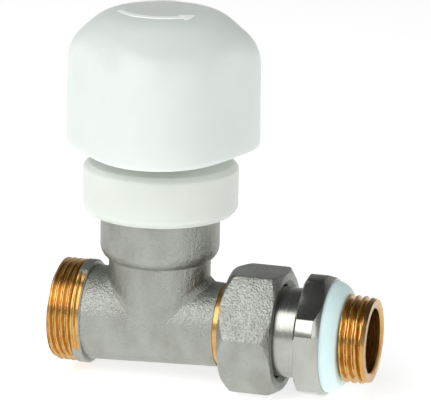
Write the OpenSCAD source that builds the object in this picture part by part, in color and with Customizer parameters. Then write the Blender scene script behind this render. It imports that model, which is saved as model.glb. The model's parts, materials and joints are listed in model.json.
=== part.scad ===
// Straight radiator valve of the wheelhead and lockshield kind, with a
// self-sealing union tail. Millimetres, +Z up along the spindle, +X along the
// pipe towards the radiator. The origin lies on the pipe axis, in the plane
// where the radiator thread starts. The valve is drawn fully open.

/* [Radiator tail] */
// Distance from the spindle axis to the start of the radiator thread
tail_reach = 47; // [45:0.1:52]
// Outside diameter of the radiator thread, G 1/2
tail_thread_d = 20.955; // [20.2:0.005:21.6]
// Pitch of the radiator thread, 14 to the inch
tail_thread_pitch = 1.814; // [1.2:0.001:2.2]
// Length of the radiator thread
tail_thread_len = 6.5; // [5:0.1:14]
// Diameter of the waterway at the radiator end
tail_bore_d = 15.4; // [12:0.1:16]
// Diameter over the turned corners of the spanner flange
flange_d = 30.2; // [29:0.1:33]
// Distance across the flats of the spanner flange
flange_af = 28; // [26:0.1:28.8]
// Length of the six flats of the spanner flange
flange_len = 4.6; // [3:0.1:8]
// Angle of the flange's nearest corner above the horizontal, in degrees
flange_clock = 21.4; // [0:0.1:60]
// Length of the cone between the flats and the seal
flange_cone_len = 1.4; // [1:0.1:3]
// Largest diameter of the tapered seal
seal_d = 26.7; // [25:0.1:27.5]
// Thickness of the seal at its tip
seal_tip_t = 1; // [0.4:0.1:1.6]
// Length of the seal that stands out of the flange
seal_len = 3.5; // [2:0.1:4.5]
// Step from the union thread down to the polished barrel under the nut
barrel_step = 1.2; // [1:0.05:1.4]

/* [Union nut] */
// Distance across the flats of the union nut
nut_af = 28.5; // [27.5:0.1:32]
// Angle of the nut's nearest corner above the horizontal, in degrees
nut_clock = 4.5; // [0:0.1:60]
// Length of the union nut
nut_len = 13; // [12.4:0.1:13.6]
// Length of bare neck that the nut hides beside the union thread
nut_cover = 1.2; // [0.6:0.1:1.6]
// Run of the chamfer on the corners at the body's end of the nut
nut_chamfer = 2.2; // [1:0.1:5]
// Pitch of the union thread
union_pitch = 1.5; // [1:0.1:2]
// Diameter of the union thread
union_thread_d = 24; // [23.8:0.1:24.6]
// Length of the union thread on the body
union_thread_len = 4.7; // [3:0.1:5]

/* [Body] */
// Distance from the spindle axis to the pipe end
pipe_reach = 24.7; // [24:0.1:34]
// Outside diameter of the pipe thread, M25 x 1.5
pipe_thread_d = 25; // [24:0.1:27]
// Pitch of the pipe thread
pipe_thread_pitch = 1.5; // [1:0.1:2]
// Length of the pipe thread
pipe_thread_len = 6; // [5:0.1:7]
// Width of the collar behind the pipe thread
pipe_flange_w = 2.2; // [1:0.1:3]
// Diameter of the pipe socket
socket_d = 15.1; // [12:0.1:16]
// Depth of the pipe socket from the end face
socket_depth = 10.5; // [7:0.1:11]
// Distance from the spindle axis to the union end of the body
body_reach = 24.6; // [23.8:0.1:24.8]
// Outside diameter of the tube at the pipe end
tube_d = 23.1; // [22.6:0.1:24]
// Outside diameter of the tube at the union end
tube_end_d = 20; // [19:0.1:21]
// Diameter of the waterway through the body
waterway_d = 13; // [10:0.1:13.6]
// Diameter of the upper neck
neck_d = 28.7; // [28:0.1:31]
// Diameter of the lower neck across the pipe
neck_waist_d = 24.7; // [24:0.1:26]
// Thickness of the lower neck along the line of sight through the pipe
neck_waist_t = 21.5; // [20.6:0.1:22.5]
// Height at which the rounding under the upper neck ends
neck_round_z = 18.9; // [18:0.1:20]
// Radius of the rounding under the upper neck
neck_round_r = 3.9; // [2.5:0.1:4.5]
// Height of the top of the neck above the pipe axis
neck_top_z = 30; // [29:0.1:33]

/* [Headwork] */
// Number of turns from fully open to closed
turns = 2.75; // [1.5:0.25:2.75]
// Pitch of the spindle thread
spindle_pitch = 1; // [0.6:0.05:1]
// Diameter of the seat opening
seat_d = 10; // [7:0.1:11]
// Height of the seat face above the pipe axis
seat_z = 1.6; // [1.3:0.1:2.2]
// Diameter of the chamber above the seat
chamber_d = 18; // [17:0.1:18.6]
// Diameter of the headwork thread in the neck
bonnet_thread_d = 22.1; // [21:0.1:23]
// Distance across the flats of the headwork hexagon
bonnet_af = 22; // [20:0.1:23]
// Height from the foot of the headwork to the shoulder that stops the spindle
stop_h = 8.3; // [8:0.1:9]
// Height from that shoulder to the floor of the packing
packing_h = 5.4; // [5.2:0.1:5.8]
// Height of the headwork hexagon
tower_h = 5.3; // [5:0.1:5.8]
// Diameter of the spindle thread
spindle_thread_d = 10; // [9:0.1:11]
// Length of the spindle thread
spindle_thread_len = 6; // [4:0.1:6.4]
// Diameter of the spindle where it passes the gland
spindle_d = 7; // [6.95:0.05:7.6]
// Distance across the flats of the spindle head that the key turns
key_af = 6; // [5:0.1:6]
// Distance across the flats of the gland nut
gland_af = 13; // [12.6:0.1:14]

/* [Collar] */
// Diameter of the white collar
collar_d = 37.2; // [36:0.1:42]
// Height of the collar
collar_h = 12.3; // [11.5:0.1:13]
// Chamfer at the top and bottom of the collar
collar_chamfer = 1.25; // [0.4:0.05:1.6]

/* [Cap] */
// Height of the cap's rim above the collar when the valve is open
cap_gap = 3.3; // [3.2:0.1:6]
// Height of the cap
cap_h = 33.7; // [30:0.1:38]
// Radius of the cap at its three lobes
cap_r = 24.8; // [22.5:0.1:27]
// Distance from the axis to the cap's three grip flats
cap_flat_r = 19.9; // [18.5:0.1:21]
// Radius of the rounding between the cap's side and its shoulder
cap_round_r = 11.5; // [8:0.1:13]
// Radius of the rounding between the cap's shoulder and its top
cap_edge_r = 12; // [6:0.1:13]
// Radius of the flat disc on top of the cap
cap_top_r = 9; // [8:0.1:10]
// Wall of the cap
cap_wall = 2.2; // [1.2:0.1:3]
// Direction of the cap's front lobe, in degrees from +X
cap_turn = -76.6; // [-180:0.1:180]

/* [Fits] */
// Radial clearance of a running fit
run = 0.08; // [0.02:0.01:0.1]
// Gap between fitted pieces that do not move
sit = 0.05; // [0.02:0.01:0.1]
// Radial gap between the union nut and the barrel
nut_gap = 0.4; // [0.1:0.05:0.5]

/* [Hidden] */
$fn = 96;
nickel = "#b9bab4";
brass = "#c8943c";
white = "#f2f4f2";
rubber = "#2b2b2d";
steel = "#8d8f92";
over = 1;                  // how far a cut runs past the face it opens
lift = turns * spindle_pitch;

// Places along X, from the spindle axis
pipe_thread_x = pipe_thread_len - pipe_reach;
pipe_flange_x = pipe_thread_x + pipe_flange_w;
union_thread_x = body_reach - union_thread_len;
relief_w = 3.6;            // bare turned neck beside the union thread
thread_relief_w = 0.2;     // gap between the seal and the radiator thread
tube_x = union_thread_x - relief_w;
tail_collar_w = 3.4;       // collar of the tail that the union nut pulls on
collar_play = 0.4;         // room between that collar and the nut's thread
slip_w = 0.8;              // thickness of the slip washer
slip_x = body_reach + tail_collar_w + sit;
lip_x = slip_x + slip_w + sit;
nut_x = union_thread_x - nut_cover;
seal_tip_x = tail_reach - thread_relief_w;
seal_x = seal_tip_x - seal_len;
flange_x = seal_x - flange_cone_len - flange_len;
nose_depth = 4;            // reach of the tail's nose into the body
nose_x = body_reach - nose_depth + 0.3;
groove_x = nose_x + 0.9;
seal_recess = 0.9;         // how deep the seal sits in the flange
seal_rim = 0.4;            // metal that stands round the seal's root
wall_x = 11;               // end of the inlet, at the wall before the chamber

// Radii
union_r = union_thread_d / 2;
barrel_r = union_r - barrel_step;
way_r = waterway_d / 2;
nose_r = way_r + 2.5;
sleeve_bore_r = way_r - 0.2;
tail_collar_r = union_r - collar_play;
spigot_r = barrel_r - 1.3;
thread_r = tail_thread_d / 2;
thread_root_r = thread_r - 0.6 * tail_thread_pitch;
o_ring_r = 0.62;           // section radius of the O-rings, squeezed in place
groove_depth = 1.3;        // depth of an O-ring groove
groove_w = 2 * o_ring_r + 0.1;
gland_bore_r = gland_af / 2 - 0.5;
packing_r = (gland_bore_r - spindle_d / 2 - run) / 2;
washer_r = seat_d / 2 + 1.8;
screw_r = 1.5;
button_r = 3.2;            // the spindle's foot, in the plug's T slot
button_neck_r = 2;
bush_r = key_af / 2 + 2.5;
cap_hub_r = bush_r + 2.5;
clip_w = 0.9;              // width of the split ring round the bush

// Heights above the pipe axis, from the seat up
plate_z = -1.4;            // underside of the wall that holds the seat
bonnet_drop = 1.6;         // how far the headwork reaches below the neck's widest part
bonnet_flange_t = 1.5;
gland_seat_h = 3.1;        // round shoulder between the hexagon and the gland nut
gland_h = 2.4;
screw_grip = 3.4;          // length of screw that the plug holds
web_t = 0.65;              // metal between the screw's hole and the T slot
plug_roof_t = 1.65;        // metal over the T slot
circlip_gap = 0.55;        // from the gland nut to the circlip, when closed
clip_rise = 0.8;
collar_grip = 3;           // length of neck that the collar covers
lip_h = 0.6;               // height of the raised seat
washer_z = seat_z + lift + 0.02;
washer_t = 2;
washer_sink = 1;           // how deep the washer sits in the plug
plug_z = washer_z + washer_t - washer_sink;
screw_tip_z = plug_z + screw_grip;
button_z = screw_tip_z + web_t;
button_h = 1.5;
plug_top_z = button_z + button_h + plug_roof_t;
bonnet_z = neck_round_z - bonnet_drop;
bonnet_flange_z = neck_top_z + bonnet_flange_t;
tower_z = bonnet_flange_z + tower_h;
gland_z = tower_z + gland_seat_h;
gland_top_z = gland_z + gland_h;
stop_z = bonnet_z + stop_h;
packing_z = stop_z + packing_h;
gland_ring_z = packing_z + 2 * packing_r + 2 * sit;
gland_ring_t = 1;
wiper_h = 1.2;
circlip_z = gland_top_z + lift + circlip_gap;
circlip_t = 0.8;
spindle_head_z = circlip_z + circlip_t + sit;
bush_h = 12;
clip_z = spindle_head_z + clip_rise;
clip_t = 1.5;

// Heights of the collar and the cap
collar_z = neck_top_z - collar_grip;
collar_top_z = collar_z + collar_h;
snap_z = collar_z + collar_grip / 2;   // wire ring that holds the collar
cap_z = collar_top_z + cap_gap;
cap_top_z = cap_z + cap_h;

// Points of an arc about [x, y], from angle a to angle b in n steps
function arc(x, y, r, a, b, n) = [for (i = [0 : n]) let (t = a + (b - a) * i / n)
    [x + r * cos(t), y + r * sin(t)]];

module at_spindle() translate([-tail_reach, 0, 0]) children();
module along_x() rotate([0, 90, 0]) children();
module rod(r, a, b) translate([0, 0, a]) cylinder(r = r, h = b - a);
module cone(r1, r2, a, b) translate([0, 0, a]) cylinder(r1 = r1, r2 = r2, h = b - a);
module ring(r, section, z) translate([0, 0, z]) rotate_extrude() translate([r, 0]) circle(section);
module hexagon(af, a, b) translate([0, 0, a]) cylinder(r = af / sqrt(3), h = b - a, $fn = 6);

// Turned rod from a to b with V grooves of the true pitch cut round it, and an
// end that tapers over its last stretch, the lead, by drop. A thinner shank
// reaches into what carries it.
module threaded(r, pitch, a, b, lead, drop) {
    shank_r = r - 2.5;
    land = 0.2 * pitch;
    depth = 0.6 * pitch;
    count = floor((b - a - land) / pitch);
    groove_end = a + land + (count - 0.2) * pitch;
    function edge(z) = r - drop * max(0, z - (b - lead)) / lead;
    grooves = [for (i = [0 : count - 1]) let (g = a + land + i * pitch) each [
        [edge(g), g], [r - depth, g + 0.3 * pitch],
        [r - depth, g + 0.5 * pitch], [edge(g + 0.8 * pitch), g + 0.8 * pitch]]];
    rotate_extrude() polygon(concat(
        [[0, a - over], [shank_r, a - over], [shank_r, a], [r, a]], grooves,
        groove_end < b - lead ? [[r, b - lead]] : [], [[r - drop, b], [0, b]]));
}

// ---- Body -------------------------------------------------------------

// Plan of the lower neck: round at the sides, flatter at the front and back,
// where it runs out into the tube
module waist_plan() {
    flat_r = 14;
    intersection() {
        circle(d = neck_waist_d);
        translate([0, flat_r - neck_waist_t / 2]) circle(flat_r);
        translate([0, neck_waist_t / 2 - flat_r]) circle(flat_r);
    }
}

module body_outside() {
    pipe_r = pipe_thread_d / 2;
    end_r = tube_end_d / 2;
    relief_r = end_r - 0.3;
    slant = 0.8;
    neck_r = neck_d / 2;
    along_x() {
        mirror([0, 0, 1]) threaded(pipe_r, pipe_thread_pitch, -pipe_thread_x, pipe_reach, 0.3, 0.4);
        rotate_extrude() polygon([
            [0, pipe_thread_x], [pipe_r, pipe_thread_x], [pipe_r, pipe_flange_x - slant],
            [tube_d / 2, pipe_flange_x], [end_r, tube_x], [relief_r, tube_x],
            [relief_r, union_thread_x], [0, union_thread_x]]);
        threaded(union_r, union_pitch, union_thread_x, body_reach, 0.5, 0.4);
    }
    linear_extrude(neck_round_z) waist_plan();
    rotate_extrude() polygon(concat([[0, neck_round_z - neck_round_r]],
        arc(neck_r - neck_round_r, neck_round_z, neck_round_r, -90, 0, 9),
        [[neck_r, neck_top_z], [0, neck_top_z]]));
}

module body_inside() {
    mouth_len = 2;
    mouth_w = 1.8;
    seat_wall = 1.2;
    along_x() {
        cone(socket_d / 2 + mouth_w, socket_d / 2, -pipe_reach, mouth_len - pipe_reach);
        rod(socket_d / 2 + mouth_w, -pipe_reach - over, -pipe_reach);
        rod(socket_d / 2, -pipe_reach, socket_depth - pipe_reach);
        rod(way_r, socket_depth - pipe_reach - over, -wall_x);
        rod(way_r, chamber_d / 2 - 1, body_reach);
        rod(nose_r, body_reach - nose_depth, body_reach + over);
    }
    // Under the seat, the lower half of the inlet runs on below the plate
    intersection() {
        along_x() rod(way_r, -wall_x - over, seat_d / 2 + 1.4);
        translate([-2 * wall_x, -way_r, plate_z - way_r]) cube([4 * wall_x, 2 * way_r, way_r]);
    }
    rod(seat_d / 2, plate_z - over, seat_z + over);
    difference() {
        rod(chamber_d / 2, seat_z - lip_h, bonnet_z + over);
        rod(seat_d / 2 + seat_wall, seat_z - lip_h - over, seat_z);
    }
    rod(bonnet_thread_d / 2, bonnet_z, neck_top_z + over);
    ring(neck_d / 2, o_ring_r, snap_z);
}

module body() color(nickel) at_spindle() difference() {
    body_outside();
    body_inside();
}

// ---- Headwork -----------------------------------------------------------

module bonnet() color(brass) at_spindle() {
    skirt_r = bonnet_thread_d / 2 - sit;
    flange_r = neck_d / 2 - 0.8;
    groove_z = bonnet_z + 1;
    difference() {
        union() {
            rod(skirt_r, bonnet_z + sit, bonnet_flange_z);
            rod(flange_r, neck_top_z, bonnet_flange_z);
            intersection() {
                hexagon(bonnet_af, neck_top_z, tower_z);
                cone(bonnet_af * 0.75, bonnet_af * 0.54, neck_top_z, tower_z);
            }
            rod(gland_bore_r + 1.7, neck_top_z, gland_z);
        }
        rod(spindle_thread_d / 2 + run, bonnet_z - over, stop_z);
        rod(spindle_d / 2 + run, stop_z - over, gland_z + over);
        rod(gland_bore_r, packing_z, gland_z + over);
        difference() {
            rod(skirt_r + over, groove_z, groove_z + groove_w);
            rod(skirt_r - groove_depth, groove_z - over, groove_z + groove_w + over);
        }
    }
}

module bonnet_o_ring() color(rubber) at_spindle()
    ring(bonnet_thread_d / 2 - o_ring_r - 0.02, o_ring_r, bonnet_z + 1 + groove_w / 2);

// The packing, from below: an O-ring, a plastic ring and the gland nut
module stem_o_ring() color(rubber) at_spindle()
    ring(spindle_d / 2 + run / 2 + packing_r, packing_r, packing_z + packing_r + sit);

module gland_ring() color(white) at_spindle() difference() {
    rod(gland_bore_r - sit, gland_ring_z, gland_ring_z + gland_ring_t);
    rod(spindle_d / 2 + run, gland_ring_z - over, gland_ring_z + gland_ring_t + over);
}

module gland_nut() color(brass) at_spindle() {
    foot_z = gland_ring_z + gland_ring_t + sit;
    difference() {
        union() {
            rod(gland_bore_r - sit, foot_z, gland_top_z);
            hexagon(gland_af, gland_z, gland_top_z);
        }
        rod(spindle_d / 2 + run, foot_z - over, gland_top_z + over);
        rod(spindle_d / 2 + wiper_h + 0.1, gland_top_z - wiper_h, gland_top_z + over);
    }
}

module wiper_o_ring() color(rubber) at_spindle() {
    section = wiper_h / 2 - sit;
    ring(spindle_d / 2 + run + section, section, gland_top_z - wiper_h / 2);
}

// ---- Moving headwork ------------------------------------------------------

// The spindle's button hangs in a T slot that is open on one side
module plug() color(brass) at_spindle() difference() {
    slot_z = button_z - sit;
    slot_h = button_h + 2 * sit;
    rod(washer_r + 0.8, plug_z, plug_top_z);
    rod(washer_r + sit, plug_z - over, plug_z + washer_sink);
    rod(screw_r + sit, plug_z, screw_tip_z + 0.2);
    rod(button_r + run, slot_z, slot_z + slot_h);
    rod(button_neck_r + run, button_z, plug_top_z + over);
    translate([0, -button_r - run, slot_z]) cube([2 * washer_r, 2 * (button_r + run), slot_h]);
    translate([0, -button_neck_r - run, button_z])
        cube([2 * washer_r, 2 * (button_neck_r + run), 2 * plug_top_z]);
}

module plug_washer() color(rubber) at_spindle() difference() {
    rod(washer_r, washer_z, washer_z + washer_t - sit);
    rod(screw_r + sit, washer_z - over, washer_z + washer_t + over);
}

module washer_screw() color(nickel) at_spindle() {
    head_r = screw_r + 1.3;
    head_h = 1.25;
    slot_w = 0.8;
    rod(screw_r, washer_z - head_h / 2, screw_tip_z);
    difference() {
        rod(head_r, washer_z - sit - head_h, washer_z - sit);
        translate([-head_r - over, -slot_w / 2, washer_z - sit - head_h - over])
            cube([2 * (head_r + over), slot_w, head_h / 2 + over]);
    }
}

module spindle() color(nickel) at_spindle() difference() {
    thread_z = stop_z - sit - spindle_thread_len;
    root_r = spindle_thread_d / 2 - 1;
    union() {
        rod(button_r, button_z, button_z + button_h);
        rod(button_neck_r, button_z, plug_top_z + 0.6);
        rod(root_r, plug_top_z + 0.5, stop_z - sit);
        rod(spindle_thread_d / 2, thread_z, stop_z - sit);
        rod(spindle_d / 2, thread_z, spindle_head_z);
        hexagon(key_af, stop_z, spindle_head_z + bush_h - 1);
    }
    difference() {
        rod(spindle_d, circlip_z, circlip_z + circlip_t);
        rod(spindle_d / 2 - 0.5, circlip_z - over, circlip_z + circlip_t + over);
    }
}

module spindle_circlip() color(steel) at_spindle() {
    play = 0.04;
    gap_w = 2.4;
    difference() {
        rod(spindle_d / 2 + 1.2, circlip_z + play, circlip_z + circlip_t - play);
        rod(spindle_d / 2 - 0.48, circlip_z - over, circlip_z + circlip_t + over);
        translate([-gap_w / 2, -spindle_d, circlip_z - over]) cube([gap_w, spindle_d, circlip_t + 2 * over]);
    }
}

// ---- Collar -----------------------------------------------------------

module collar() color(white) at_spindle() {
    r = collar_d / 2;
    ledge_t = 1;
    roof_t = 1.9;
    difference() {
        rotate_extrude() polygon([
            [0, collar_z], [r - collar_chamfer, collar_z], [r, collar_z + collar_chamfer],
            [r, collar_top_z - collar_chamfer], [r - collar_chamfer, collar_top_z], [0, collar_top_z]]);
        rod(neck_d / 2 + sit, collar_z - over, neck_top_z);
        rod(neck_d / 2 - 0.5, neck_top_z - over, neck_top_z + ledge_t);
        rod(r - 2, neck_top_z + ledge_t, collar_top_z - roof_t);
        rod(gland_bore_r + 2.9, collar_top_z - roof_t - over, collar_top_z + over);
        ring(neck_d / 2, o_ring_r, snap_z);
    }
}

// Split wire ring, half in the neck and half in the collar
module collar_snap_ring() color(steel) at_spindle() {
    wire_r = o_ring_r - 0.04;
    gap_w = 4;
    difference() {
        ring(neck_d / 2, wire_r, snap_z);
        translate([0, -gap_w / 2, snap_z - 2 * wire_r]) cube([neck_d, gap_w, 4 * wire_r]);
    }
}

// ---- Cap --------------------------------------------------------------

// Plan of the cap, shrunk by inset: three lobes joined by three grip flats
module cap_plan(inset) {
    sink = 0.1;                                // keeps each flat from being tangent
    reach = 2 * (cap_r - cap_flat_r - sink);   // from the axis to a lobe's centre
    lobe_r = cap_r - reach - inset;
    rotate(cap_turn) {
        for (k = [0 : 2]) rotate(120 * k) translate([reach, 0]) circle(lobe_r);
        polygon([for (k = [0 : 2]) for (s = [-60, 60]) let (a = 120 * k)
            [reach * cos(a) + (lobe_r - sink) * cos(a + s), reach * sin(a) + (lobe_r - sink) * sin(a + s)]]);
    }
}

// Side, shoulder and top of the cap as one turned solid, shrunk by inset
module cap_turned(inset, from_z) {
    slope = 48;                                // direction that the shoulder faces
    // The shoulder is the line at distance shoulder_d from the axis, facing slope
    crown_z = cap_top_z - cap_edge_r;
    shoulder_d = cap_top_r * cos(slope) + crown_z * sin(slope) + cap_edge_r;
    side_x = cap_r - cap_round_r;
    side_z = (shoulder_d - cap_round_r - side_x * cos(slope)) / sin(slope);
    rotate_extrude() polygon(concat(
        [[0, from_z], [cap_r - inset, from_z]],
        arc(side_x, side_z, cap_round_r - inset, 0, slope, 6),
        arc(cap_top_r, crown_z, cap_edge_r - inset, slope, 90, 6),
        [[0, cap_top_z - inset]]));
}

module cap_solid(inset, from_z) intersection() {
    translate([0, 0, from_z]) linear_extrude(cap_h + 2 * over) cap_plan(inset);
    cap_turned(inset, from_z - over);
}

module cap() color(white) at_spindle() difference() {
    rib_z = cap_top_z - cap_wall - 6;
    rib_t = 1.4;
    union() {
        difference() {
            cap_solid(0, cap_z);
            cap_solid(cap_wall, cap_z - over);
        }
        intersection() {
            cap_solid(cap_wall / 2, cap_z);
            union() {
                rod(cap_hub_r, spindle_head_z, cap_top_z);
                for (k = [0 : 2]) rotate(cap_turn + 60 + 120 * k)
                    translate([0, -rib_t / 2, rib_z]) cube([cap_r, rib_t, cap_h]);
            }
        }
    }
    rod(bush_r + sit, spindle_head_z - over, spindle_head_z + bush_h + sit);
    rod(bush_r + clip_w + 2 * sit, spindle_head_z - over, clip_z + clip_t + sit);
}

module cap_bush() color(brass) at_spindle() difference() {
    slot_w = 1;
    rod(bush_r, spindle_head_z, spindle_head_z + bush_h);
    hexagon(key_af + 2 * run, spindle_head_z - over, spindle_head_z + bush_h - 1 + sit);
    translate([-slot_w / 2, -2 * bush_r, spindle_head_z - over])
        cube([slot_w, 4 * bush_r, bush_h / 2]);
}

// Split ring that squeezes the slotted end of the bush on the spindle
module cap_clip() color(steel) at_spindle() difference() {
    gap_w = 2.4;
    rod(bush_r + sit + clip_w, clip_z, clip_z + clip_t);
    rod(bush_r + sit, clip_z - over, clip_z + clip_t + over);
    translate([0, -gap_w / 2, clip_z - over]) cube([2 * bush_r, gap_w, clip_t + 2 * over]);
}

// ---- Union and tail -----------------------------------------------------

module union_nut() color(nickel) at_spindle() along_x() {
    end_x = nut_x + nut_len;
    corner_r = nut_af / sqrt(3) + 0.1;
    end_chamfer = 1.6;
    entry = 0.5;
    mouth = 0.8;
    mouth_r = barrel_r + nut_gap;
    difference() {
        intersection() {
            rotate(30 - nut_clock) hexagon(nut_af, nut_x, end_x);
            rotate_extrude() polygon([
                [0, nut_x], [nut_af / 2, nut_x], [corner_r, nut_x + nut_chamfer],
                [corner_r, end_x - end_chamfer], [nut_af / 2 - 0.2, end_x], [0, end_x]]);
        }
        rod(union_r + run, nut_x - over, lip_x);
        rod(union_r + entry, nut_x - over, union_thread_x);
        rod(mouth_r, lip_x - over, end_x + over);
        cone(mouth_r, mouth_r + mouth + over, end_x - mouth, end_x + over);
    }
}

module slip_washer() color("#d9d9d4") at_spindle() along_x() difference() {
    rod(union_r, slip_x, slip_x + slip_w);
    rod(barrel_r + run, slip_x - over, slip_x + slip_w + over);
}

module tail_sleeve() color(nickel) at_spindle() along_x() difference() {
    spigot_end_x = flange_x + flange_len;
    undercut = 0.5;
    union() {
        rod(nose_r - sit, nose_x, body_reach + tail_collar_w);
        rod(tail_collar_r, body_reach, body_reach + tail_collar_w);
        rod(barrel_r, body_reach, flange_x - undercut);
        rod(barrel_r - undercut, body_reach, flange_x);
        rod(spigot_r, body_reach, spigot_end_x);
    }
    rod(sleeve_bore_r, nose_x - over, spigot_end_x + over);
    difference() {
        rod(nose_r + over, groove_x, groove_x + groove_w);
        rod(nose_r - groove_depth, groove_x - over, groove_x + groove_w + over);
    }
}

module tail_o_ring() color(rubber) at_spindle() along_x()
    ring(nose_r - o_ring_r - 0.02, o_ring_r, groove_x + groove_w / 2);

module radiator_nipple() color(nickel) at_spindle() along_x() {
    tip_x = tail_reach + tail_thread_len;
    bore_r = tail_bore_d / 2;
    edge = 0.5;
    corner_r = flange_d / 2;
    flats_end_x = flange_x + flange_len;
    difference() {
        union() {
            intersection() {
                rotate(30 - flange_clock) hexagon(flange_af, flange_x, seal_x);
                rotate_extrude() polygon([
                    [0, flange_x], [corner_r - edge, flange_x], [corner_r, flange_x + edge],
                    [corner_r, flats_end_x], [seal_d / 2 + seal_rim, seal_x], [0, seal_x]]);
            }
            rod(thread_root_r, seal_x - seal_recess - over, tail_reach);
            threaded(thread_r, tail_thread_pitch, tail_reach, tip_x, 2.2, 0.6);
        }
        difference() {
            rod(seal_d / 2 + sit, seal_x - seal_recess, seal_x + over);
            rod(thread_root_r, seal_x - seal_recess - over, seal_x + 2 * over);
        }
        rod(spigot_r + sit, flange_x - over, flats_end_x + sit);
        rod(bore_r, flange_x, tip_x + over);
        cone(bore_r, bore_r + edge, tip_x - edge, tip_x);
    }
}

module seal_ring() color("#dfeef0") at_spindle() along_x() {
    root_x = seal_x - seal_recess + sit;
    inner_r = thread_root_r + sit;
    tip_r = thread_r + seal_tip_t;
    rotate_extrude() polygon([
        [inner_r, root_x], [seal_d / 2, root_x], [seal_d / 2, seal_x + 0.2 * seal_len],
        [seal_d / 2 - 0.3, seal_x + 0.4 * seal_len], [tip_r, seal_tip_x - 0.1],
        [tip_r - 0.1, seal_tip_x], [inner_r, seal_tip_x]]);
}

body();
bonnet();
bonnet_o_ring();
gland_nut();
gland_ring();
stem_o_ring();
wiper_o_ring();
collar();
collar_snap_ring();
tail_sleeve();
tail_o_ring();
radiator_nipple();
seal_ring();
plug();
plug_washer();
washer_screw();
spindle();
spindle_circlip();
cap();
cap_bush();
cap_clip();
slip_washer();
union_nut();
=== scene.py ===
"""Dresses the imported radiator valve: its visible pieces, materials, light, floor and camera.

Shapes are worked out in millimetres about the point where the pipe axis meets the
spindle axis: X along the pipe to the radiator, Y to the back, Z up.
"""
import json
import math

import bmesh
import bpy
import numpy as np
from mathutils import Matrix, Vector


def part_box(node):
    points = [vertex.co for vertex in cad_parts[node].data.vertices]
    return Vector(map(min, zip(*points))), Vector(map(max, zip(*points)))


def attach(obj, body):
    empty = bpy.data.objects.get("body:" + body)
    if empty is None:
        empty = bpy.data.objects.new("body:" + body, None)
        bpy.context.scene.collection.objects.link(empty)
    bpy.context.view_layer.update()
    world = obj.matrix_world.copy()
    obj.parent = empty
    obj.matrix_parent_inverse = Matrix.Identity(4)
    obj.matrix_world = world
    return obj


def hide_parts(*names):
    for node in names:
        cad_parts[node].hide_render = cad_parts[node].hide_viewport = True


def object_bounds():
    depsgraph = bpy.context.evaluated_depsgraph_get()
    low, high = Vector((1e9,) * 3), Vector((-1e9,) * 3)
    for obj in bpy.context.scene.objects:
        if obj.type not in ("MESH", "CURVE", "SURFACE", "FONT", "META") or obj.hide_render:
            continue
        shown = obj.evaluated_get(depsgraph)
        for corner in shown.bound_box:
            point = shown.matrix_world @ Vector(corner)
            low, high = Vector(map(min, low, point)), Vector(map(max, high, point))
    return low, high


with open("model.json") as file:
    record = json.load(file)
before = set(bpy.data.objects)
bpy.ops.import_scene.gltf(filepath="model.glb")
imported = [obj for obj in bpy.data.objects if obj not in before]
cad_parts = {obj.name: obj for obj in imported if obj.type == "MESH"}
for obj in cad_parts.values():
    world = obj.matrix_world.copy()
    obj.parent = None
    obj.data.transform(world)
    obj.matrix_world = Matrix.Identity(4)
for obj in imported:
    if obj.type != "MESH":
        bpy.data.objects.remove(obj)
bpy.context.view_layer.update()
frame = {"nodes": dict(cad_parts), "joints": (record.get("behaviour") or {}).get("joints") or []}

MM = 0.001
SPINDLE_X = next(j for j in frame["joints"] if j["name"] == "spindle_turn")["pos_m"][0]
TAU = 2 * math.pi


def box_mm(node):
    """Lowest and highest corners of a CAD node, in millimetres about the crossing."""
    low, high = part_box(node)
    shift = Vector((SPINDLE_X, 0, 0))
    return (low - shift) / MM, (high - shift) / MM


# ---- Camera ---------------------------------------------------------------

def add_camera():
    azimuth, elevation, roll = (math.radians(a) for a in (16.66, 14.83, 1.08))
    distance = 700
    back = Vector((math.sin(azimuth) * math.cos(elevation),
                   -math.cos(azimuth) * math.cos(elevation), math.sin(elevation)))
    right = Vector((math.cos(azimuth), math.sin(azimuth), 0))
    up = back.cross(right)
    target = 13.11 * right + 28.73 * up
    camera_right = math.cos(roll) * right + math.sin(roll) * up
    camera_up = math.cos(roll) * up - math.sin(roll) * right
    data = bpy.data.cameras.new("camera")
    data.sensor_width = 36
    data.lens = 241.85
    data.clip_end = 20
    camera = bpy.data.objects.new("camera", data)
    place = Matrix((camera_right, camera_up, back)).transposed().to_4x4()
    place.translation = (target + distance * back) * MM + Vector((SPINDLE_X, 0, 0))
    camera.matrix_world = place
    bpy.context.scene.collection.objects.link(camera)
    bpy.context.scene.camera = camera


add_camera()


# ---- Materials ------------------------------------------------------------

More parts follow.
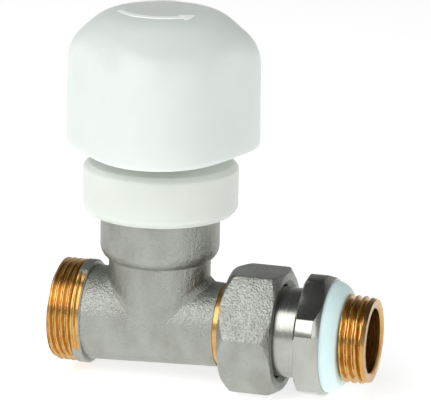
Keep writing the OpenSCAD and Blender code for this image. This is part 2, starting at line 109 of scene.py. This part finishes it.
class Shader:
    """A Principled material whose grain is given in millimetres."""

    def __init__(self, name, metallic, **sockets):
        self.material = bpy.data.materials.new(name)
        self.material.use_nodes = True
        self.tree = self.material.node_tree
        self.shader = self.tree.nodes["Principled BSDF"]
        self.shader.inputs["Metallic"].default_value = metallic
        for socket, value in sockets.items():
            self.shader.inputs[socket.replace("_", " ")].default_value = value
        self.place = self.tree.nodes.new("ShaderNodeTexCoord").outputs["Object"]
        self.normal = None

    def node(self, kind, inputs=(), **settings):
        node = self.tree.nodes.new("ShaderNode" + kind)
        for key, value in settings.items():
            setattr(node, key, value)
        for socket, value in dict(inputs).items():
            if isinstance(value, bpy.types.NodeSocket):
                self.tree.links.new(value, node.inputs[socket])
            else:
                node.inputs[socket].default_value = value
        return node

    def noise(self, size, detail, stretch=(1, 1, 1)):
        """Noise with features of size mm; a stretch of 0 makes it constant along that axis."""
        scale = [s / (size * MM) for s in stretch]
        place = self.node("Mapping", {"Vector": self.place, "Scale": scale})
        return self.node("TexNoise", {"Vector": place.outputs[0], "Scale": 1.0,
                                      "Detail": detail}).outputs["Fac"]

    def spread(self, value, low, high, out_low, out_high):
        return self.node("MapRange", {"Value": value, "From Min": low, "From Max": high,
                                      "To Min": out_low, "To Max": out_high}).outputs["Result"]

    def colour(self, value, *stops):
        ramp = self.node("ValToRGB", {"Fac": value})
        points = ramp.color_ramp.elements
        while len(points) < len(stops):
            points.new(0.5)
        for point, (position, rgb) in zip(points, stops):
            point.position, point.color = position, (*rgb, 1)
        self.tree.links.new(ramp.outputs["Color"], self.shader.inputs["Base Color"])
        return self

    def roughness(self, value, low, high):
        fac = self.spread(value, 0.3, 0.7, low, high)
        self.tree.links.new(fac, self.shader.inputs["Roughness"])
        return self

    def bump(self, value, height):
        """Adds relief of height mm."""
        inputs = {"Height": value, "Distance": height * MM, "Strength": 1.0}
        if self.normal:
            inputs["Normal"] = self.normal
        self.normal = self.node("Bump", inputs).outputs["Normal"]
        self.tree.links.new(self.normal, self.shader.inputs["Normal"])
        return self


def plastic(name, low, high, rough, **sockets):
    s = Shader(name, 0.0, **sockets)
    s.colour(s.noise(9, 3), (0.3, low), (0.7, high))
    s.roughness(s.noise(1.6, 4), rough, rough + 0.08)
    return s.bump(s.noise(0.5, 2), 0.005).material


def plastic_with_painted_glow(name, low, high, rough, depth):
    """White plastic that lets light through to a depth in mm, and glows a little: painted light that lightens
    its shaded parts.
    """
    return plastic(name, low, high, rough, Subsurface_Weight=0.8, Subsurface_Radius=(1, 1, 1),
                   Subsurface_Scale=depth * MM, Emission_Color=(*high, 1), Emission_Strength=0.2)


def metal(name, tones, rough, grain, relief, stretch=(1, 1, 1)):
    """Metal with patches of two or three tones, and grain of two sizes.

    The patches are drawn out along the axis of turned metal, and upwards on the rest.
    """
    s = Shader(name, 1.0)
    steps = np.linspace(0.34, 0.66, len(tones))
    patch = 5
    if 0 in stretch:
        patch_stretch = [0.6 if along else 1 for along in stretch]
    else:
        patch_stretch = (1, 1, 0.45)
    s.colour(s.noise(patch, 5, patch_stretch), *zip(steps, tones))
    s.roughness(s.noise(grain * 1.3, 2, stretch), *rough)
    for size, height in zip((grain, grain * 2.6), relief):
        s.bump(s.noise(size, 2, stretch), height)
    return s.material


RINGS_X = (1, 0, 0)
RINGS_Z = (0, 0, 1)
CAST = ((0.315, 0.32, 0.285), (0.35, 0.362, 0.33), (0.375, 0.39, 0.36))
TURNED = ((0.37, 0.375, 0.345), (0.44, 0.45, 0.415))
BRASS = ((0.50, 0.275, 0.085), (0.64, 0.405, 0.145))
STEEL = ((0.34, 0.34, 0.35), (0.44, 0.44, 0.45))

blasted = metal("blasted_nickel", CAST, (0.34, 0.50), 0.42, (0.20, 0.14))
hammered = metal("forged_nickel", CAST, (0.32, 0.48), 0.46, (0.24, 0.18))
milled = metal("milled_nickel", TURNED, (0.12, 0.20), 0.22, (0.004, 0.006))
turned_x = metal("turned_nickel", TURNED, (0.18, 0.30), 0.22, (0.012, 0.012), RINGS_X)
turned_z = metal("turned_spindle", TURNED, (0.20, 0.30), 0.16, (0.004, 0.006), RINGS_Z)
brass_x = metal("turned_brass", BRASS, (0.18, 0.32), 0.16, (0.006, 0.010), RINGS_X)
brass_z = metal("turned_brass_headwork", BRASS, (0.20, 0.32), 0.15, (0.004, 0.006), RINGS_Z)
steel = metal("spring_steel", STEEL, (0.24, 0.38), 0.10, (0.003, 0.003))
# Cap, collar and seal glow faintly: painted light that lightens their shade, such as the gap under the cap.
cap_white = plastic_with_painted_glow("cap_plastic", (0.58, 0.62, 0.595), (0.60, 0.64, 0.615), 0.30, 5)
collar_white = plastic_with_painted_glow("collar_plastic", (0.58, 0.615, 0.575), (0.60, 0.635, 0.59), 0.36, 5)
seal_white = plastic_with_painted_glow("seal_plastic", (0.56, 0.71, 0.71), (0.61, 0.75, 0.75), 0.38, 2)
# The arrow's faint emission is painted light that keeps it bright where it lies in shade.
arrow_white_painted_glow = plastic("arrow_plastic", (0.90, 0.93, 0.91), (0.93, 0.95, 0.93), 0.35,
                      Emission_Color=(0.9, 0.95, 0.92, 1), Emission_Strength=0.15)
ring_white = plastic("ring_plastic", (0.78, 0.79, 0.77), (0.82, 0.83, 0.81), 0.40)
rubber = plastic("black_rubber", (0.018, 0.018, 0.02), (0.03, 0.03, 0.032), 0.55)


# ---- Shapes -----------------------------------------------------------------

def dress(piece, body, slot, *nodes):
    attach(piece, body)
    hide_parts(*nodes)
    return piece


def mesh_piece(name, points, faces, material, sharp=32):
    """Object from points in millimetres about the crossing."""
    mesh = bpy.data.meshes.new(name)
    place = np.asarray(points, float) * MM + (SPINDLE_X, 0, 0)
    mesh.from_pydata(place.tolist(), [], faces)
    mesh.materials.append(material)
    finish_mesh(mesh, sharp)
    piece = bpy.data.objects.new(name, mesh)
    bpy.context.scene.collection.objects.link(piece)
    return piece


def finish_mesh(mesh, sharp=32):
    mesh.validate()
    mesh.polygons.foreach_set("use_smooth", [True] * len(mesh.polygons))
    mesh.set_sharp_from_angle(angle=math.radians(sharp))
    mesh.update()


def rounded(points, radii, steps=4):
    """Rounds each corner of closed outlines; points has the shape (..., corners, 2)."""
    points = np.asarray(points, float)
    before, after = np.roll(points, 1, -2) - points, np.roll(points, -1, -2) - points
    len_before = np.linalg.norm(before, axis=-1, keepdims=True) + 1e-9
    len_after = np.linalg.norm(after, axis=-1, keepdims=True) + 1e-9
    before, after = before / len_before, after / len_after
    half = np.arccos(np.clip((before * after).sum(-1, keepdims=True), -0.9999, 0.9999)) / 2
    reach = np.asarray(radii, float)[..., None] / np.tan(half)
    reach = np.minimum(reach, 0.45 * np.minimum(len_before, len_after))
    t = np.linspace(0, 1, steps + 1)[:, None]
    corner = points[..., None, :]
    arc = corner + (before * reach)[..., None, :] * (1 - t) ** 2 + (after * reach)[..., None, :] * t ** 2
    return arc.reshape(*points.shape[:-2], -1, 2)


def turned(name, outline, material, axis="x", segments=360, sharp=32, angles=None):
    """Closed ring from an outline of (place along the axis, radius) points.

    The outline is one list, or one list per angle. About X, angles run from the front
    upwards; about Z, they run from +X to the back.
    """
    outline = np.asarray(outline, float)
    if angles is None:
        angles = np.arange(segments) * TAU / segments
    if outline.ndim == 2:
        outline = np.broadcast_to(outline, (len(angles), *outline.shape))
    along, radius = outline[..., 0], outline[..., 1]
    c, s = np.cos(angles)[:, None], np.sin(angles)[:, None]
    if axis == "x":
        points = np.stack([along, -radius * c, radius * s], -1)
    else:
        points = np.stack([radius * c, radius * s, along], -1)
    rows, corners = along.shape
    grid = np.arange(rows * corners).reshape(rows, corners)
    next_row, next_corner = np.roll(grid, -1, 0), np.roll(grid, -1, 1)
    both = np.roll(next_row, -1, 1)
    quads = np.stack([grid, next_row, both, next_corner], -1).reshape(-1, 4)
    piece = mesh_piece(name, points.reshape(-1, 3), quads.tolist(), material, sharp)
    make_outward(piece.data, sharp)
    return piece


def make_outward(mesh, sharp):
    work = bmesh.new()
    work.from_mesh(mesh)
    bmesh.ops.remove_doubles(work, verts=work.verts, dist=2e-7)
    bmesh.ops.dissolve_degenerate(work, edges=work.edges, dist=1e-7)
    bmesh.ops.recalc_face_normals(work, faces=work.faces)
    work.to_mesh(mesh)
    work.free()
    finish_mesh(mesh, sharp)


def boolean(piece, cutters, operation="DIFFERENCE"):
    for cutter in cutters:
        step = piece.modifiers.new("cut", "BOOLEAN")
        step.object, step.operation, step.solver = cutter, operation, "MANIFOLD"
        bpy.context.view_layer.update()
        evaluated = piece.evaluated_get(bpy.context.evaluated_depsgraph_get())
        mesh = bpy.data.meshes.new_from_object(evaluated)
        piece.modifiers.clear()
        piece.data = mesh
    for cutter in cutters:
        bpy.data.objects.remove(cutter)
    return piece


def hexagon_radius(angles, across_flats, corner_angle, corner_radius, ease):
    """Radius of a hexagon with turned corners, eased where flat meets corner."""
    step = TAU / 6
    off = (angles - corner_angle + step / 2) % step - step / 2     # from the nearest corner
    flat = across_flats / 2 / np.cos(step / 2 - np.abs(off))
    gap = flat - corner_radius
    return np.minimum(flat, corner_radius) - ease * np.exp(-np.abs(gap) / ease) / 2


def same_points(points, outlines):
    """The same points, once for each outline."""
    points = np.array(points, float)
    return np.broadcast_to(points, (len(outlines), *points.shape))


def thread_outline(angles, start, end, pitch, crest, depth, bore, leads, crest_at, fade=None):
    """Outlines of a right-hand thread about X.

    leads are (length, drop) at the start and the end, crest_at is where a crest passes
    the front, and fade is (place, length) of the groove's run-out.
    """
    samples = 16                                # for each pitch
    flat, flank = 0.16, 0.66                    # shares of half a pitch
    x = np.linspace(start, end, int((end - start) / pitch * samples) + 1)
    phase = ((x[None, :] - crest_at) / pitch + angles[:, None] / TAU + 0.5) % 1
    groove = np.clip((np.abs(2 * phase - 1) - flat) / flank, 0, 1)
    if fade:
        groove = groove * np.clip((fade[0] - x) / fade[1], 0, 1)
    radius = crest - depth * groove
    for lead, distance in zip(leads, (x - start, end - x)):
        if lead:
            limit = crest - lead[1] * np.clip(1 - distance / lead[0], 0, 1)
            radius = np.minimum(radius, limit[None, :])
    rows = np.stack([np.broadcast_to(x, radius.shape), radius], -1)
    return np.concatenate([rows, same_points(bore, rows)], 1)


# ---- Cap and collar ---------------------------------------------------------

ARROW_ROOM = 0.25               # between the cap's middle and the top of its CAD solid
CROWN_FALL = 0.2                # from the cap's middle to the top of its shoulder


def make_cap():
    low, high = box_mm("cap")
    rim, top, wall = low.z, high.z - ARROW_ROOM, 2.2
    mean_r, lobe, shoulder_r = 22.5, 2.3, 13.6
    front, draft, fall = math.radians(-76.6), 0.013, math.tan(math.radians(42))
    angles = np.arange(540) * TAU / 540
    plan = mean_r + lobe * np.cos(3 * (angles - front))
    one = np.ones_like(angles)

    def skin(inset):
        """Middle of the top, top of the shoulder, foot of the shoulder, and rim."""
        side = plan - inset
        z_top = top - CROWN_FALL - inset
        r_top = shoulder_r - inset * math.tan(math.radians(24))
        z_side = (z_top - fall * (side + draft * rim - r_top)) / (1 - fall * draft)
        return ((one * (top - inset), 0 * one), (one * z_top, one * r_top),
                (z_side, side - draft * (z_side - rim)), (one * rim, side))

    outline = [np.stack(p, -1) for p in skin(0) + skin(wall)[::-1]]
    radii = np.array([0, 12, 11.5, 0.45, 0.3, 9.3, 9.8, 0]) + 1e-6
    shell = turned("cap_shell", rounded(np.stack(outline, 1), radii, 12), cap_white, "z", angles=angles)
    hub_low, hub_high = box_mm("cap_bush")[0].z, top - 1
    hub_in, hub_out = 5.55, 8.0
    hub_outline = [(hub_low, hub_in), (hub_low, hub_out), (hub_high, hub_out), (hub_high, hub_in)]
    hub = turned("cap_hub", rounded(hub_outline, [0.2, 0.4, 0.2, 0.2]), cap_white, "z", 96)
    return dress(shell, "cap", "white_plastic", "cap"), hub


def make_arrow():
    """Raised arrow for the closing direction, moulded round the top of the cap."""
    top = box_mm("cap")[1].z - ARROW_ROOM
    middle, height, sunk, dome_start = 10.4, 0.24, -1, 8.9
    shaft = [(math.radians(a), 9.75, 11.05) for a in np.linspace(-150, -47, 30)]
    head = [(math.radians(a), middle - w, middle + w)
            for a, w in ((-46.9, 1.9), (-40, 1.3), (-33, 0.65), (-27, 0.05))]
    sections = shaft + head
    rows = []
    for angle, inner, outer in sections:
        for radius, rise in ((inner, sunk), (inner, height), (outer, height), (outer, sunk)):
            dome = top - CROWN_FALL - max(0, radius - dome_start) ** 2 / 24
            rows.append((radius * math.cos(angle), radius * math.sin(angle), dome + rise))
    count = len(sections)
    faces = [(4 * i + k, 4 * i + 4 + k, 4 * i + 4 + (k + 1) % 4, 4 * i + (k + 1) % 4)
             for i in range(count - 1) for k in range(4)]
    faces += [(3, 2, 1, 0), tuple(4 * (count - 1) + k for k in range(4))]
    arrow = mesh_piece("cap_arrow", rows, faces, arrow_white_painted_glow)
    make_outward(arrow.data, 32)
    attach(arrow, "cap")


def make_collar():
    low, high = box_mm("collar")
    r = high.x
    chamfer, wall, mouth, lip, hole = 1.25, 2, 14.4, 13.85, 8.9
    under = high.z - 1.9
    outline = [(low.z, mouth), (low.z, r - chamfer), (low.z + chamfer, r), (high.z - chamfer, r),
               (high.z, r - chamfer), (high.z, hole), (under, hole), (under, r - wall), (low.z + 4, r - wall),
               (low.z + 4, lip), (low.z + 3, lip), (low.z + 3, mouth)]
    radii = [0.15, 0.8, 1.2, 1.2, 0.8, 0.3, 0.2, 0.4, 0.4, 0.1, 0.1, 0.1]
    collar = turned("collar_shell", rounded(outline, radii, 5), collar_white, "z", 240)
    return dress(collar, "housing", "white_plastic", "collar")


cap, cap_hub = make_cap()
boolean(cap, [cap_hub], "UNION")
finish_mesh(cap.data, 40)
make_arrow()
make_collar()


# ---- Union nut and tail -----------------------------------------------------

ANGLES = np.arange(720) * TAU / 720


def columns(*points):
    """Outlines from points whose two values may each vary with the angle."""
    return np.stack([np.stack([np.broadcast_to(v, ANGLES.shape) for v in p], -1) for p in points], 1)


def make_nut():
    low, high = box_mm("union_nut")
    x0, x1 = low.x, high.x
    bore, lip_bore, lip = 12.08, 11.25, x1 - 2.85
    across_flats, corner, face, end_face = 28.5, 16.4, 14.25, 14.05
    chamfer, end_chamfer = 2.2, 1.6
    side = hexagon_radius(ANGLES, across_flats, math.radians(4.5), corner, 0.35)
    xa = x0 + np.maximum(side - face, 0.05) * (chamfer / (corner - face))
    xb = x1 - np.maximum(side - end_face, 0.05) * (end_chamfer / (corner - end_face))
    outline = columns((x0, bore + 0.6), (x0, np.minimum(face, side - 0.05)), (xa, side), (xb, side),
                      (x1, np.minimum(end_face, side - 0.05)), (x1, lip_bore + 1.1),
                      (x1 - 1.1, lip_bore), (lip, lip_bore), (lip, bore), (x0 + 0.6, bore))
    radii = [0.1, 0.35, 0.9, 0.7, 0.4, 0.1, 0.1, 0.1, 0.1, 0.1]
    nut = turned("nut_forging", rounded(outline, radii, 4), hammered, angles=ANGLES)
    return dress(nut, "union_nut", "nickel_cast", "union_nut")


def make_sleeve():
    x0, end = (corner.x for corner in box_mm("tail_sleeve"))
    face = box_mm("radiator_nipple")[0].x
    collar, relief = x0 + 3.7, face - 0.5
    bore, nose_r, groove_r, collar_r, barrel_r, relief_r, shank_r = 6.3, 8.95, 7.7, 11.6, 10.8, 10.3, 9.5
    outline = [(x0, bore), (x0, nose_r), (x0 + 0.9, nose_r), (x0 + 0.9, groove_r), (x0 + 2.24, groove_r),
               (x0 + 2.24, nose_r), (collar, nose_r), (collar, collar_r), (collar + 3.4, collar_r),
               (collar + 3.4, barrel_r), (relief, barrel_r), (relief, relief_r), (face, relief_r),
               (face, shank_r), (end, shank_r), (end, bore)]
    radii = [0.2, 0.3] + [0.08] * 6 + [0.2, 0.1, 0.15, 0.1, 0.05, 0.05, 0.1, 0.2]
    sleeve = turned("tail_barrel", rounded(outline, radii, 3), turned_x, segments=240)
    return dress(sleeve, "housing", "nickel_turned", "tail_sleeve")


def make_flange():
    x0 = box_mm("radiator_nipple")[0].x
    x1 = x0 + 6.0
    across_flats, turned_r, seal_r, seat_r, hole = 28.0, 15.1, 13.75, 13.4, 9.55
    side = hexagon_radius(ANGLES, across_flats, math.radians(21.4), turned_r, 0.06)
    cone = x0 + 4.6 + (turned_r - side) * (1.4 / (turned_r - seal_r))
    back = x0 + 0.5 - (turned_r - side) * 0.4
    outline = columns((x0, hole), (x0, np.minimum(turned_r - 0.5, side - 0.08)), (back, side),
                      (cone, side), (x1, seal_r), (x1, seat_r), (x1 - 0.9, seat_r), (x1 - 0.9, 9.39))
    radii = [0.05, 0.1, 0.15, 0.2, 0.12, 0.05, 0.05, 0.05]
    return turned("tail_flange", rounded(outline, radii, 3), milled, angles=ANGLES, sharp=18)


def make_tail_thread():
    x1 = box_mm("radiator_nipple")[1].x
    start = -SPINDLE_X / MM
    pitch, crest, depth, inner_end = 1.814, 10.4775, 1.12, start - 5
    bore = [(x1, 8.3), (x1 - 0.45, 7.75), (inner_end, 7.7)]
    rows = thread_outline(ANGLES, start, x1, pitch, crest, depth, bore,
                          (None, (2.2, 0.6)), crest_at=47.6, fade=(x1 - 0.9, 0.4))
    shank = same_points([(inner_end, 9.3), (start - 0.02, 9.35)], rows)
    return turned("tail_thread", np.concatenate([shank, rows], 1), brass_x, angles=ANGLES, sharp=50)


def make_seal():
    low, high = box_mm("seal_ring")
    outline = [(low.x, 9.45), (low.x, 13.3), (low.x + 0.9, 13.36), (low.x + 1.9, 13.25), (low.x + 2.9, 12.8),
               (low.x + 3.75, 12.15), (high.x - 0.05, 11.45), (high.x, 9.45)]
    seal = turned("seal_cone", rounded(outline, [0.1, 0.1, 1, 2, 2, 2, 0.25, 0.1], 4), seal_white, segments=240)
    return dress(seal, "housing", "seal_plastic", "seal_ring")


make_nut()
make_sleeve()
flange, tail_thread = make_flange(), make_tail_thread()
dress(flange, "housing", "nickel_turned", "radiator_nipple")
dress(tail_thread, "housing", "bare_brass", "radiator_nipple")
make_seal()


# ---- Body ------------------------------------------------------------------

FORGING = (-18.7, 16.3)
TUBE = ((-16.5, 11.55), (16.3, 10.1))
NECK_TOP = 30
FOOT_Z, FOOT_R, FOOT_ROUND = 18.9, 10.45, 3.9      # round foot of the upper neck
RING_END = -16.3
SOCKET_R, WAY_R = 7.55, 6.5
BODY_PITCH, BODY_DEPTH = 1.5, 0.86                 # of both threads on the body


def length(*parts):
    return np.sqrt(sum(np.maximum(p, 0) ** 2 for p in parts))


def join(a, b, r):
    """Union of two distances with a fillet of radius r."""
    return np.maximum(r, np.minimum(a, b)) - length(r - a, r - b)


def stem_distance(p):
    """Tube and lower neck; their fillet fades out towards the pipe's axis."""
    x, y, z = p[:, 0], p[:, 1], p[:, 2]
    tube = np.hypot(y, z) - np.interp(x, *zip(*TUBE))
    side, flat, ease = np.hypot(x, y) - 12.35, np.hypot(x, np.abs(y) + 3.25) - 14, 0.8
    waist = np.minimum(-ease, np.maximum(side, flat)) + length(side + ease, flat + ease)
    waist = np.maximum(waist, -z)
    return join(tube, waist, 0.02 + 0.9 * np.clip((z - 1.5) / 3, 0, 1))


def forging_distance(p):
    upright, around = np.hypot(p[:, 0], p[:, 1]), np.hypot(p[:, 1], p[:, 2])
    neck = length(upright - FOOT_R, FOOT_Z - p[:, 2]) - FOOT_ROUND
    ring = np.maximum(around - 12.6, p[:, 0] - RING_END)
    return np.minimum(np.minimum(stem_distance(p), neck), ring)


def solid(radius, start, end, axis):
    """Plain closed cylinder about X or Z, for building and cutting."""
    sides = 96
    turn = np.arange(sides) * TAU / sides
    u, v = radius * np.cos(turn), radius * np.sin(turn)
    ends = []
    for place in (start, end):
        w = np.full(sides, float(place))
        ends.append(np.stack([w, u, v] if axis == "x" else [u, v, w], -1))
    points = np.concatenate(ends)
    ring = np.arange(sides)
    after = np.roll(ring, -1)
    faces = np.stack([ring, after, after + sides, ring + sides], -1).tolist()
    faces += [ring[::-1].tolist(), (ring + sides).tolist()]
    piece = mesh_piece("solid", points, faces, brass_x)
    make_outward(piece.data, 40)
    return piece


def block(low, high):
    x, y, z = zip(low, high)
    points = [(a, b, c) for a in x for b in y for c in z]
    faces = [(0, 1, 3, 2), (4, 6, 7, 5), (0, 4, 5, 1), (2, 3, 7, 6), (0, 2, 6, 4), (1, 5, 7, 3)]
    piece = mesh_piece("block", points, faces, brass_x)
    make_outward(piece.data, 40)
    return piece


def grown_forging(voxel=0.4):
    """Outside of the forging: tube and lower neck joined by voxels and moved on to
    their true surface, then the turned upper neck and the ring behind the thread."""
    body = solid(11.6, -21, 21, "x")
    boolean(body, [solid(12.3, 0, 20, "z")], "UNION")
    remesh = body.modifiers.new("remesh", "REMESH")
    remesh.mode, remesh.voxel_size = "VOXEL", voxel * MM
    bpy.context.view_layer.update()
    mesh = bpy.data.meshes.new_from_object(body.evaluated_get(bpy.context.evaluated_depsgraph_get()))
    body.modifiers.clear()
    body.data = mesh
    points = np.empty(len(mesh.vertices) * 3)
    mesh.vertices.foreach_get("co", points)
    points = (points.reshape(-1, 3) - (SPINDLE_X, 0, 0)) / MM
    tiny = 1e-3
    for _ in range(6):
        d = stem_distance(points)
        slope = np.stack([(stem_distance(points + e) - stem_distance(points - e)) / (2 * tiny)
                          for e in np.eye(3) * tiny], -1)
        steep = np.maximum((slope ** 2).sum(-1), 0.25)
        keep = (np.abs(points[:, 0]) < 20.7) & (points[:, 2] < 19.7)
        points -= 0.9 * (d * keep / steep)[:, None] * slope
    mesh.vertices.foreach_set("co", (points * MM + (SPINDLE_X, 0, 0)).ravel())
    mesh.update()
    curve = [(FOOT_Z - FOOT_ROUND * math.cos(t), FOOT_R + FOOT_ROUND * math.sin(t))
             for t in np.linspace(0, math.pi / 2, 24)]
    neck = turned("neck", [(15, 5)] + curve + [(33, FOOT_R + FOOT_ROUND), (33, 5)], blasted, "z", 300)
    rise = np.degrees(np.arcsin(np.sin(ANGLES)))
    low = np.clip((57 - np.abs(rise - 15)) / 22, 0, 1)
    ring_r = 12.62 - 0.72 * low * low * (3 - 2 * low)
    ring = turned("ring", rounded(columns((-20.5, 9), (-20.5, ring_r), (RING_END, ring_r), (RING_END, 9)),
                                  [0.01, 0.01, 0.5, 0.01], 5), blasted, angles=ANGLES)
    return boolean(body, [neck, ring], "UNION")


def make_forging():
    body = grown_forging()
    body.name = "body_forging"
    body.data.materials.clear()
    body.data.materials.append(blasted)
    ends = [block((-30, -20, -20), (FORGING[0], 20, 20)), block((FORGING[1], -20, -20), (30, 20, 20)),
            block((-20, -20, NECK_TOP), (20, 20, 40))]
    plate = solid(WAY_R, -12, 6.4, "x")
    boolean(plate, [block((-20, -10, -1.4), (20, 10, 10))])
    seat = solid(6.2, 0.9, 1.6, "z")
    chamber = solid(9.0, 1.0, 17.4, "z")
    boolean(chamber, [seat])
    bores = [solid(SOCKET_R, -30, -14.2, "x"), solid(WAY_R, -15, -11, "x"), plate, solid(5, -2.4, 3, "z"),
             chamber, solid(WAY_R, 8, 30, "x"), solid(11.05, 17.3, 40, "z")]
    boolean(body, ends + bores)
    mesh = body.data
    centres = np.empty(len(mesh.polygons) * 3)
    mesh.polygons.foreach_get("center", centres)
    centres = (centres.reshape(-1, 3) - (SPINDLE_X, 0, 0)) / MM
    machined = forging_distance(centres) < -0.25
    if len(mesh.materials) < 2:
        mesh.materials.append(brass_x)
    mesh.polygons.foreach_set("material_index", machined.astype(np.int32))
    finish_mesh(mesh, 40)
    return body


def make_pipe_thread():
    x0, inner_end, step = box_mm("body")[0].x, -16.7, FORGING[0] + 0.1
    bore = [(inner_end, 11), (step, 11), (step, SOCKET_R), (x0 + 2, SOCKET_R), (x0, 9.35)]
    rows = thread_outline(ANGLES, x0, inner_end, BODY_PITCH, 12.5, BODY_DEPTH, bore,
                          ((0.4, 0.5), None), crest_at=-23.75)
    return turned("pipe_thread", rows, brass_x, angles=ANGLES, sharp=50)


def make_union_thread():
    x0, x1 = FORGING[1], box_mm("body")[1].x
    start, step, nose_r, band_r = x1 - 4.7, x1 - 4, 9.0, 9.85
    bore = [(x1, nose_r), (step, nose_r), (step, WAY_R), (x0, WAY_R)]
    rows = thread_outline(ANGLES, start, x1, BODY_PITCH, 12.0, BODY_DEPTH, bore,
                          ((0.5, 0.5), (0.5, 0.5)), crest_at=20)
    band = same_points([(x0, band_r), (start - 0.02, band_r)], rows)
    return turned("union_thread", np.concatenate([band, rows], 1), brass_x, angles=ANGLES, sharp=50)


body = make_forging()
dress(body, "housing", "nickel_cast", "body")
for piece in (make_pipe_thread(), make_union_thread()):
    dress(piece, "housing", "bare_brass", "body")


# ---- Finishes of the CAD's own pieces -------------------------------------------

SHOWN = {
    "bonnet": brass_z, "gland_nut": brass_z, "plug": brass_z, "cap_bush": brass_z,
    "spindle": turned_z, "washer_screw": steel, "spindle_circlip": steel, "cap_clip": steel,
    "collar_snap_ring": steel, "slip_washer": steel, "gland_ring": ring_white,
    "bonnet_o_ring": rubber, "stem_o_ring": rubber, "wiper_o_ring": rubber, "tail_o_ring": rubber,
    "plug_washer": rubber,
}
REPLACED = {
    "body": blasted, "collar": collar_white, "cap": cap_white, "union_nut": hammered,
    "tail_sleeve": turned_x, "radiator_nipple": milled, "seal_ring": seal_white,
}
for node, finish in (SHOWN | REPLACED).items():
    mesh = frame["nodes"][node].data
    mesh.materials.clear()
    mesh.materials.append(finish)


# ---- Floor and light ------------------------------------------------------------

def make_floor():
    s = Shader("pale_floor", 0.0, Roughness=0.7)
    s.colour(s.noise(60, 2), (0.3, (0.86, 0.86, 0.86)), (0.7, (0.88, 0.88, 0.88)))
    s.shader.inputs["Emission Color"].default_value = (1, 1, 1, 1)
    s.shader.inputs["Emission Strength"].default_value = 0.66
    low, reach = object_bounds()[0].z / MM - 0.05, 6000
    turn = np.arange(64) * TAU / 64
    points = [(reach * math.cos(t), reach * math.sin(t), low) for t in turn]
    mesh_piece("floor", points, [tuple(range(64))], s.material, 60)


def make_sky():
    """Grey at the horizon and dark overhead."""
    world = bpy.data.worlds.new("studio")
    world.use_nodes = True
    tree = world.node_tree
    place, split = tree.nodes.new("ShaderNodeTexCoord"), tree.nodes.new("ShaderNodeSeparateXYZ")
    ramp = tree.nodes.new("ShaderNodeValToRGB")
    tree.links.new(place.outputs["Generated"], split.inputs[0])
    tree.links.new(split.outputs["Z"], ramp.inputs["Fac"])
    tree.links.new(ramp.outputs["Color"], tree.nodes["Background"].inputs["Color"])
    stops = ramp.color_ramp.elements
    stops.new(0.3)
    stops.new(0.7)
    for stop, (height, level) in zip(stops, ((0, 0.50), (0.3, 0.36), (0.7, 0.10), (1, 0.07))):
        stop.position, stop.color = height, (level, level, level, 1)
    bpy.context.scene.world = world


def softbox(name, direction, distance, size, power):
    data = bpy.data.lights.new(name, "AREA")
    data.shape, data.size, data.size_y = "RECTANGLE", size[0] * MM, size[1] * MM
    data.energy = power
    light = bpy.data.objects.new(name, data)
    aim = Vector((SPINDLE_X + 10 * MM, 0, 25 * MM))
    out = Vector(direction).normalized()
    light.location = aim + out * distance * MM
    light.rotation_euler = out.to_track_quat("Z", "Y").to_euler()
    bpy.context.scene.collection.objects.link(light)


make_floor()
make_sky()
softbox("key", (-0.45, -0.85, 0.87), 900, (900, 820), 6.2)
softbox("fill", (0.95, -0.5, 0.45), 1100, (600, 900), 2.3)
bpy.context.scene.view_settings.view_transform = "Standard"
